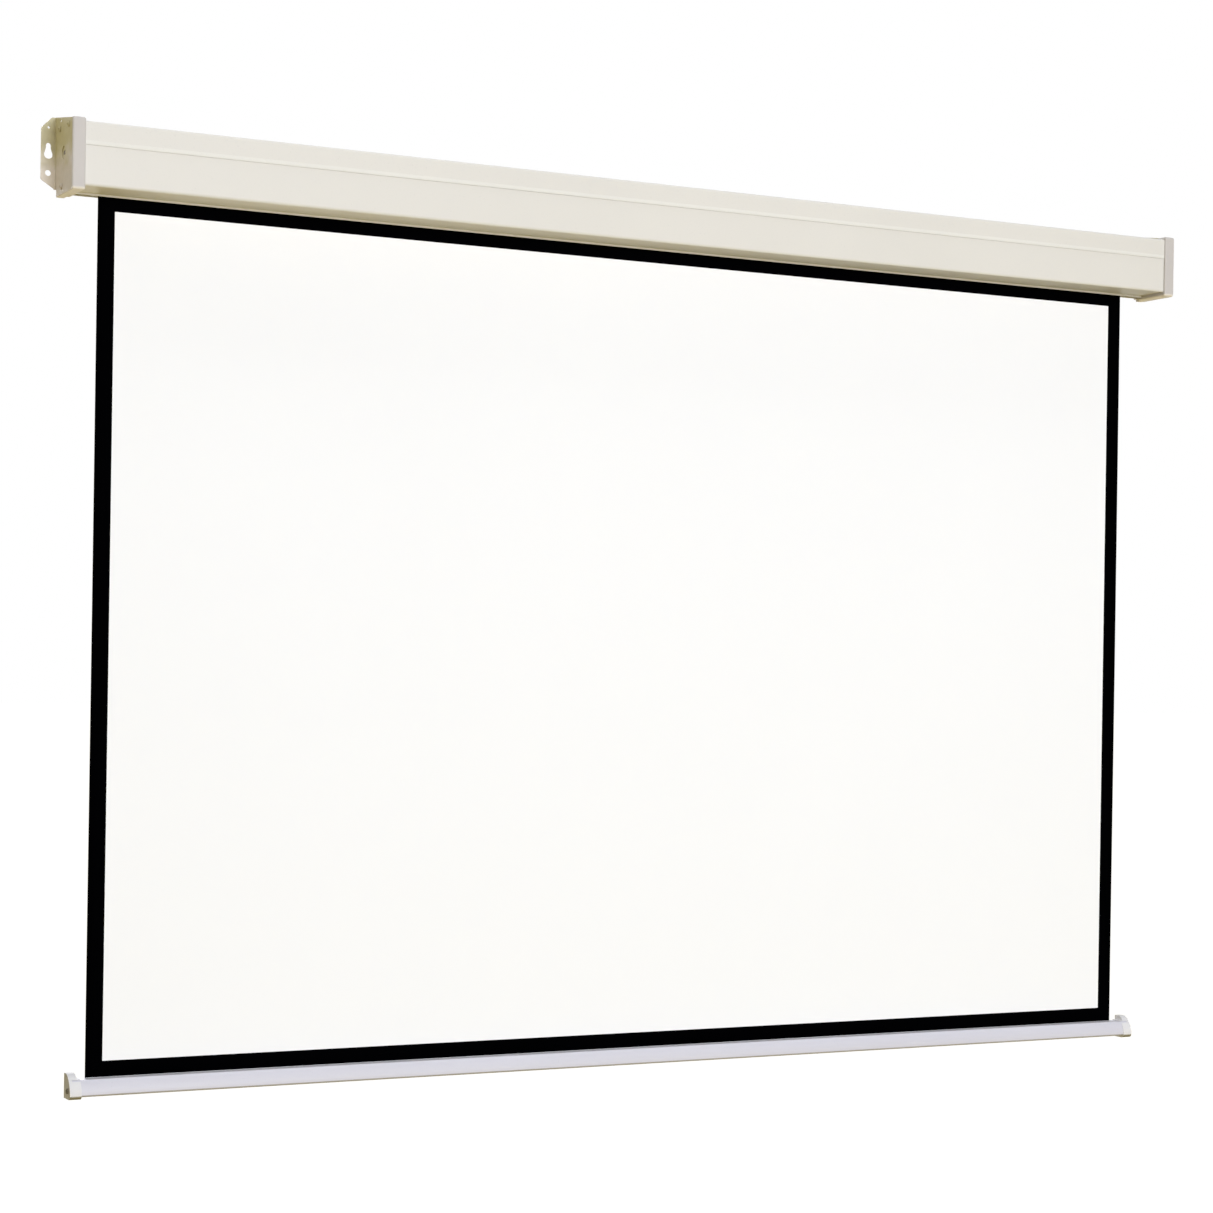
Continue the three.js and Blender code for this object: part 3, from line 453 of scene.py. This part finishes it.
def paint(name, color, roughness, patch, below=None, painted_falloff=False):
    """Satin paint or powder coat: faint cloudy patches and a fine orange peel, with painted
    shade on the faces that look down where a below colour is given, deepening along X
    where asked.
    """
    shader = Shader(name)
    looks_down = LOOKS_DOWN
    # Painted shade: the underside's colour deepens along X and covers less of the lower edge.
    if painted_falloff:
        below = shader.with_painted_falloff(below)
        looks_down = LOOKS_UNDER
    place = shader.place()
    cloud = shader.noise(place, PAINT_CLOUD_SCALE, RICH_DETAIL)
    speck = shader.noise(place, PAINT_SPECK_SCALE)
    grain = shader.noise(place, PAINT_GRAIN_SCALE)
    clouded = shader.shaded(cloud, color, (1 - patch, 1 + patch))
    speckled = shader.spread(speck, 0, 1, PAINT_SPECK_RANGE)
    spotted = shader.mixed(speckled, clouded, scaled(color, PAINT_SPECK_SHARE))
    reach = PAINT_ROUGHNESS_REACH
    return shader.finish(
        Base_Color=shader.painted_shading_below(spotted, below, looks_down),
        Roughness=shader.spread(cloud, roughness - reach, roughness + reach),
        Normal=shader.bump(grain, PAINT_GRAIN_DEPTH, PAINT_GRAIN_STRENGTH),
        Specular_IOR_Level=PAINT_GLOSS,
    )


def plastic(name, color, roughness, gloss=PLASTIC_GLOSS, below=None):
    """Moulded plastic: an even colour with a fine etched grain, with painted shade or light on
    the faces that look down where a below colour is given.
    """
    shader = Shader(name)
    place = shader.place()
    cloud = shader.noise(place, PLASTIC_CLOUD_SCALE)
    grain = shader.noise(place, PLASTIC_GRAIN_SCALE, RICH_DETAIL, PLASTIC_GRAIN_ROUGHNESS)
    reach = PLASTIC_ROUGHNESS_REACH
    return shader.finish(
        Base_Color=shader.painted_shading_below(shader.shaded(cloud, color, PLASTIC_SHARES), below),
        Roughness=shader.spread(grain, roughness - reach, roughness + reach),
        Normal=shader.bump(grain, PLASTIC_GRAIN_DEPTH, PLASTIC_GRAIN_STRENGTH),
        Specular_IOR_Level=gloss,
    )


def metal(name, color, roughness, stretch):
    """Bare or plated metal with drawing lines along the axis that stretch makes long."""
    shader = Shader(name)
    place = shader.place()
    lines = shader.noise(shader.stretched(place, stretch), METAL_LINE_SCALE, RICH_DETAIL)
    cloud = shader.noise(place, METAL_DULL_SCALE, RICH_DETAIL)
    streaked = shader.shaded(lines, color, METAL_LINE_SHARES)
    dull = shader.spread(cloud, 0, METAL_DULL_MOST)
    return shader.finish(
        Base_Color=shader.mixed(dull, streaked, scaled(color, METAL_DULL_SHARE)),
        Roughness=shader.spread(lines, roughness - METAL_SMOOTHER, roughness + METAL_ROUGHER),
        Normal=shader.bump(lines, METAL_LINE_DEPTH, METAL_LINE_STRENGTH),
        Metallic=1,
    )


def stain_with_painted_light(name, upper, lower, front_upper, front_lower, roughness):
    """Plated sheet with a cloudy stain and painted light and shade: one colour high up, a
    paler one low down, both paler on the faces that look forward."""
    shader = Shader(name)
    place = shader.place()
    front = shader.spread(shader.facing()["Y"], 1, 0, LOOKS_FORWARD)
    cloud = shader.noise(place, STAIN_CLOUD_SCALE, RICH_DETAIL)
    patch = shader.noise(place, STAIN_PATCH_SCALE)
    grain = shader.noise(place, STAIN_GRAIN_SCALE)
    wander = shader.spread(cloud, -PAINTED_LIGHT_WANDER, PAINTED_LIGHT_WANDER)
    height = shader.math("ADD", shader.parts(place)["Z"], wander)
    rise = shader.spread(height, 0, 1, (PAINTED_LIGHT_FOOT, PAINTED_LIGHT_TOP))
    tones = []
    for share in STAIN_SHARES:
        low = shader.mixed(front, scaled(lower, share), scaled(front_lower, share))
        high = shader.mixed(front, scaled(upper, share), scaled(front_upper, share))
        tones.append(shader.mixed(rise, low, high))
    reach = STAIN_ROUGHNESS_REACH
    return shader.finish(
        Base_Color=shader.mixed(patch, *tones),
        Roughness=shader.spread(cloud, roughness - reach, roughness + reach),
        Normal=shader.bump(grain, STAIN_GRAIN_DEPTH, STAIN_GRAIN_STRENGTH),
        Specular_IOR_Level=STAIN_GLOSS,
    )


def weave(shader, place):
    """A plain weave seen through its coating, as a height and its bump."""
    parts = shader.parts(place)
    turn = math.tau / THREAD_PITCH
    warp = shader.math("SINE", shader.math("MULTIPLY", parts["X"], turn))
    weft = shader.math("SINE", shader.math("MULTIPLY", parts["Z"], turn))
    threads = shader.math("MULTIPLY", warp, weft)
    uneven = shader.spread(shader.noise(place, THREAD_UNEVEN_SCALE), THREAD_UNEVEN_LEAST, 1)
    height = shader.math("MULTIPLY", threads, uneven)
    return height, shader.bump(height, THREAD_DEPTH, THREAD_STRENGTH)


def cloth(name, color):
    """The side that faces the wall: plain coated fabric."""
    shader = Shader(name)
    place = shader.place()
    height, normal = weave(shader, place)
    cloud = shader.noise(place, CLOTH_CLOUD_SCALE)
    tone = shader.shaded(cloud, color, BACKING_SHARES)
    knots = shader.spread(height, 0, BACKING_KNOTS_MOST, WAVE_RANGE)
    return shader.finish(
        Base_Color=shader.mixed(knots, tone, scaled(color, KNOT_SHARE)),
        Roughness=shader.spread(cloud, *BACKING_ROUGHNESS),
        Normal=normal,
        Specular_IOR_Level=BACKING_GLOSS,
    )


def printed_cloth(name, white, black):
    """The viewing side: matte white, with black borders outside the picture.

    The print is read in the bar's coordinates, so it stays at its height above the bar while
    the screen is wound in.
    """
    shader = Shader(name)
    place = shader.place("bar")
    parts = shader.parts(place)
    across = shader.math("ABSOLUTE", parts["X"])
    beside = shader.math("GREATER_THAN", across, PICTURE_WIDTH / 2)
    above = shader.math("GREATER_THAN", parts["Z"], PICTURE_TOP)
    below = shader.math("LESS_THAN", parts["Z"], PICTURE_FOOT)
    border = shader.math("MAXIMUM", beside, shader.math("MAXIMUM", above, below))
    height, normal = weave(shader, place)
    cloud = shader.noise(place, CLOTH_CLOUD_SCALE)
    ink = shader.shaded(cloud, black, INK_SHARES)
    tone = shader.shaded(cloud, white, WHITE_SHARES)
    knots = shader.spread(height, 0, PRINT_KNOTS_MOST, WAVE_RANGE)
    woven = shader.mixed(knots, tone, scaled(white, KNOT_SHARE))
    return shader.finish(
        Base_Color=shader.mixed(border, woven, ink),
        Roughness=shader.spread(border, WHITE_ROUGHNESS, INK_ROUGHNESS, SWITCH_RANGE),
        Normal=normal,
        Specular_IOR_Level=0,
    )


# Materials.

colors = {name: linear(*values) for name, values in SCREEN_COLORS.items()}

CASING = paint(
    "casing_paint",
    colors["casing"],
    roughness=0.46,
    patch=0.012,
    # Painted shade on the faces that look down.
    below=colors["casing_painted_shade"],
    # Painted shade deepening along X.
    painted_falloff=True,
)
# The bead's paint is paler than the casing's: a painted highlight above the seam.
BEAD = paint("bead_highlight_paint", colors["bead"], roughness=0.46, patch=0.012)
# Caps: painted light on the faces that look down.
CAP = plastic("cap_plastic", colors["cap"], roughness=0.5, below=colors["cap_below"])
# Bracket: a cloudy stain with painted light and shade.
BRACKET = stain_with_painted_light(
    "bracket_plate",
    upper=colors["bracket_upper"],
    lower=colors["bracket_lower"],
    front_upper=colors["bracket_front_upper"],
    front_lower=colors["bracket_front_lower"],
    roughness=0.5,
)
# The bar and its caps take painted shade on the faces that look down.
BAR = paint(
    "bar_lacquer",
    colors["bar"],
    roughness=0.42,
    patch=0.01,
    below=colors["bar_painted_shade"],
)
BAR_CAP = plastic(
    "bar_cap_plastic",
    colors["bar_cap"],
    roughness=0.6,
    gloss=0.1,
    below=colors["bar_cap_painted_shade"],
)
# Dark so the bar screws sink into the shade of the bar caps' sides: painted shade.
SCREW_IN_PAINTED_SHADE = plastic("screw_in_painted_shade", colors["screw_in_painted_shade"], roughness=0.55)
ZINC = metal("zinc_plate", colors["zinc"], roughness=0.34, stretch=EVEN)
STEEL = metal("drawn_steel", colors["steel"], roughness=0.38, stretch=DRAWN_ALONG_X)
OILED = metal("oiled_steel", colors["oiled"], roughness=0.5, stretch=DRAWN_ALONG_X)
NYLON = plastic("nylon", colors["nylon"], roughness=0.55)
SCREEN = printed_cloth("screen_print", colors["screen_white"], colors["screen_black"])
BACKING = cloth("screen_backing", colors["backing"])

finishes = {
    "casing_channel": CASING,
    "front_cover": CASING,
    "end_cap_left": CAP,
    "end_cap_right": CAP,
    "wall_bracket_left": BRACKET,
    "wall_bracket_right": BRACKET,
    "spring_spindle": OILED,
    "ratchet_disc": STEEL,
    "spring_anchor": STEEL,
    "anchor_pin": ZINC,
    "torsion_spring": STEEL,
    "idle_bush": NYLON,
    "roller_tube": STEEL,
    "ratchet_plug": NYLON,
    "spindle_bearing": NYLON,
    "idle_plug": NYLON,
    "idle_pin": OILED,
    "pawl_pin_a": ZINC,
    "pawl_pin_b": ZINC,
    "pawl_a": STEEL,
    "pawl_b": STEEL,
    "bar_profile": BAR,
    "bar_cap_left": BAR_CAP,
    "bar_cap_right": BAR_CAP,
    "hem_rod": STEEL,
    "bar_screw_left": SCREW_IN_PAINTED_SHADE,
    "bar_screw_right": SCREW_IN_PAINTED_SHADE,
}
for side in ("left", "right"):
    for label in ("rear", "front", "foot"):
        finishes[f"cap_screw_{side}_{label}"] = BRACKET

for name, material in finishes.items():
    node = frame["nodes"][name]
    for material_slot in node.material_slots:
        material_slot.link = "OBJECT"
        material_slot.material = material

# Fabric pieces and the bead.

sheet_low, sheet_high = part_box("screen_sheet")
half_width = sheet_high.x
sheet_length = sheet_high.z - sheet_low.z


def mesh_piece(name, points, faces, materials, body):
    mesh = bpy.data.meshes.new(name)
    mesh.from_pydata([tuple(point) for point in points], [], faces)
    mesh.validate()
    for material in materials:
        mesh.materials.append(material)
    piece = bpy.data.objects.new(name, mesh)
    bpy.context.scene.collection.objects.link(piece)
    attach(piece, body)
    return piece


def ripple(x, fall):
    """How far the hanging fabric stands forward at x, at a share of the way down."""
    wave = sum(
        math.cos(math.tau * x / length + phase)
        for length, phase in zip(RIPPLE_LENGTHS, RIPPLE_PHASES)
    )
    curl = EDGE_CURL * math.exp(-(half_width - abs(x)) / EDGE_CURL_REACH)
    return (RIPPLE * wave / len(RIPPLE_LENGTHS) - curl) * math.sin(math.pi * fall) ** 2


def hanging_screen():
    """A closed sheet: the printed face, the backing, and a rim round them."""
    width = 2 * half_width
    columns = [-half_width + width * step / SHEET_COLUMNS for step in range(SHEET_COLUMNS + 1)]
    falls = [step / SHEET_ROWS for step in range(SHEET_ROWS + 1)]
    points = []
    for face_y in (sheet_low.y, sheet_high.y):
        for fall in falls:
            z = sheet_high.z - sheet_length * fall
            points += [(x, face_y + ripple(x, fall), z) for x in columns]
    wide, tall = len(columns), len(falls)
    behind = wide * tall
    faces = []
    for row in range(tall - 1):
        for column in range(wide - 1):
            corner = row * wide + column
            faces.append((corner, corner + wide, corner + wide + 1, corner + 1))
    fronts = len(faces)
    faces += [tuple(corner + behind for corner in reversed(face)) for face in faces]
    rim = [(column, column + 1) for column in range(wide - 1)]
    rim += [(row * wide + wide - 1, (row + 1) * wide + wide - 1) for row in range(tall - 1)]
    foot_row = (tall - 1) * wide
    rim += [(foot_row + column + 1, foot_row + column) for column in reversed(range(wide - 1))]
    rim += [((row + 1) * wide, row * wide) for row in reversed(range(tall - 1))]
    faces += [(start, end, end + behind, start + behind) for start, end in rim]
    piece = mesh_piece("hanging_screen", points, faces, [SCREEN, BACKING], "housing")
    for polygon in piece.data.polygons:
        polygon.material_index = 0 if polygon.index < fronts else 1
        polygon.use_smooth = polygon.index < fronts * 2
    return piece


def run_along_x(name, outline, reach, material, body, smooth=True):
    """A closed outline of (y, z) points, run along X from -reach to reach."""
    count = len(outline)
    points = [(x, y, z) for x in (-reach, reach) for y, z in outline]
    faces = []
    for corner in range(count):
        following = (corner + 1) % count
        faces.append((corner, following, following + count, corner + count))
    for start in (0, count):
        for corner in range(count // 2 - 1):
            opposite = count - 1 - corner
            quad = (corner, corner + 1, opposite - 1, opposite)
            quad = tuple(each + start for each in quad)
            faces.append(quad if start else tuple(reversed(quad)))
    piece = mesh_piece(name, points, faces, [material], body)
    for polygon in piece.data.polygons[:count]:
        polygon.use_smooth = smooth
    return piece


def strip_outline(line, thickness):
    """The closed outline of a strip of even thickness along a line of (y, z) points."""
    line = np.array(line, float)
    along = np.gradient(line, axis=0)
    along /= np.linalg.norm(along, axis=1)[:, None]
    across = np.stack([-along[:, 1], along[:, 0]], axis=1) * thickness / 2
    return [*map(tuple, line - across), *map(tuple, (line + across)[::-1])]


def roller_wraps():
    """The turns that stay on the roller, from the tube out to where the sheet leaves it."""
    low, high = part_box("fabric_wraps")
    centre_y = (low.y + high.y) / 2
    centre_z = joint_named("roller_turn")["pos_m"][-1]
    outer = high.y - centre_y - FABRIC / 2
    line = []
    for step in range(WRAP_TURNS * WRAP_STEPS + 1):
        turn = math.tau * step / WRAP_STEPS
        radius = outer - WRAP_PITCH * step / WRAP_STEPS
        line.append((centre_y + radius * math.cos(turn), centre_z + radius * math.sin(turn)))
    outline = strip_outline(line, FABRIC)
    return run_along_x("roller_wraps", outline, high.x, BACKING, "roller")


def screen_foot():
    """The hem: down the bar's throat, round the rod and back up."""
    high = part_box("screen_hem")[1]
    rod_low, rod_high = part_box("hem_rod")
    middle_y, middle_z = (rod_low.y + rod_high.y) / 2, (rod_low.z + rod_high.z) / 2
    half_neck = FABRIC / 2 + HEM_LAYER_GAP
    open_turn = math.asin(half_neck / HEM_LOOP)
    line = [(middle_y + half_neck, high.z)]
    for step in range(HEM_STEPS + 1):
        turn = open_turn + (math.tau - 2 * open_turn) * step / HEM_STEPS
        line.append(
            (middle_y + HEM_LOOP * math.sin(turn), middle_z + HEM_LOOP * math.cos(turn))
        )
    line.append((middle_y - half_neck, high.z))
    outline = strip_outline(line, FABRIC)
    return run_along_x("screen_foot", outline, high.x, BACKING, "bar")


def seam_bead():
    """The bead above the seam: a long swell from its top to its crest and a short one below."""
    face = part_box("casing_channel")[0].y
    reach = -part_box("end_cap_left")[1].x - BEAD_END_GAP
    front = []
    for step in range(-BEAD_STEPS, BEAD_STEPS + 1):
        share = abs(step) / BEAD_STEPS
        end = BEAD_TOP if step < 0 else BEAD_FOOT
        z = BEAD_CREST + (end - BEAD_CREST) * share
        front.append((face - BEAD_PROUD * (1 + math.cos(math.pi * share)) / 2, z))
    back = [(face + BEAD_SUNK, z) for _, z in reversed(front)]
    outline = front + back
    return run_along_x("seam_bead", outline, reach, BEAD, "housing", smooth=False)


seam_bead()
screen = hanging_screen()
wraps = roller_wraps()
foot = screen_foot()
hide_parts("screen_sheet")
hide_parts("fabric_wraps")
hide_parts("screen_hem")
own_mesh(screen)

# Floor, light and background.


def softbox(name, place, target, size, watts, color=WHITE[:3], spread=math.pi):
    data = bpy.data.lights.new(name, "AREA")
    data.shape = "RECTANGLE"
    data.size, data.size_y = size
    data.energy = watts
    data.color = color
    data.spread = spread
    lamp = bpy.data.objects.new(name, data)
    bpy.context.scene.collection.objects.link(lamp)
    lamp.location = place
    direction = Vector(target) - Vector(place)
    lamp.rotation_mode = "QUATERNION"
    lamp.rotation_quaternion = direction.to_track_quat("-Z", "Y")
    lamp.visible_camera = False


def empty_tree(owner):
    owner.use_nodes = True
    owner.node_tree.nodes.clear()
    return owner.node_tree


def tree_node(tree, kind, **values):
    """A node of the tree, with inputs set by name."""
    made = tree.nodes.new("ShaderNode" + kind)
    for name, value in values.items():
        made.inputs[name].default_value = value
    return made


def seen_directly(tree):
    """A value that is 1 for camera, glossy and transmission rays."""
    path = tree_node(tree, "LightPath")
    names = ("Is Camera Ray", "Is Glossy Ray", "Is Transmission Ray")
    value = path.outputs[names[0]]
    for name in names[1:]:
        larger = tree_node(tree, "Math")
        larger.operation = "MAXIMUM"
        tree.links.new(value, larger.inputs[0])
        tree.links.new(path.outputs[name], larger.inputs[1])
        value = larger.outputs[0]
    return value


def end_tree(tree, lit, seen, output_kind):
    """Ends the tree: lit for the light it gives, seen for what is looked at directly."""
    mix = tree_node(tree, "MixShader")
    output = tree_node(tree, output_kind)
    for socket, source in zip(mix.inputs, (seen_directly(tree), lit.outputs[0], seen.outputs[0])):
        tree.links.new(source, socket)
    tree.links.new(mix.outputs[0], output.inputs[0])


def make_world():
    world = bpy.data.worlds.new("world")
    tree = empty_tree(world)
    lit = tree_node(tree, "Background", Color=WORLD_COLOR, Strength=WORLD_STRENGTH)
    white = tree_node(tree, "Background", Color=WHITE)
    end_tree(tree, lit, white, "OutputWorld")
    bpy.context.scene.world = world


def make_floor():
    """A pale floor that throws warm light back up and shows white with the object's shadow."""
    mesh = bpy.data.meshes.new("floor")
    half = FLOOR_SIZE / 2
    corners = [(-half, -half), (half, -half), (half, half), (-half, half)]
    mesh.from_pydata([(x, y, FLOOR_HEIGHT) for x, y in corners], [], [(0, 1, 2, 3)])
    material = bpy.data.materials.new("floor")
    tree = empty_tree(material)
    bounced = tree_node(tree, "BsdfDiffuse", Color=FLOOR_BOUNCE)
    shown = tree_node(tree, "BsdfDiffuse", Color=FLOOR_SEEN)
    light = tree_node(tree, "Emission", Strength=FLOOR_GLOW)
    both = tree_node(tree, "AddShader")
    tree.links.new(shown.outputs[0], both.inputs[0])
    tree.links.new(light.outputs[0], both.inputs[1])
    end_tree(tree, bounced, both, "OutputMaterial")
    mesh.materials.append(material)
    floor = bpy.data.objects.new("floor", mesh)
    bpy.context.scene.collection.objects.link(floor)


make_world()
make_floor()
for name, settings in LAMPS.items():
    softbox(name, **settings)

scene = bpy.context.scene
scene.view_settings.view_transform = "Standard"
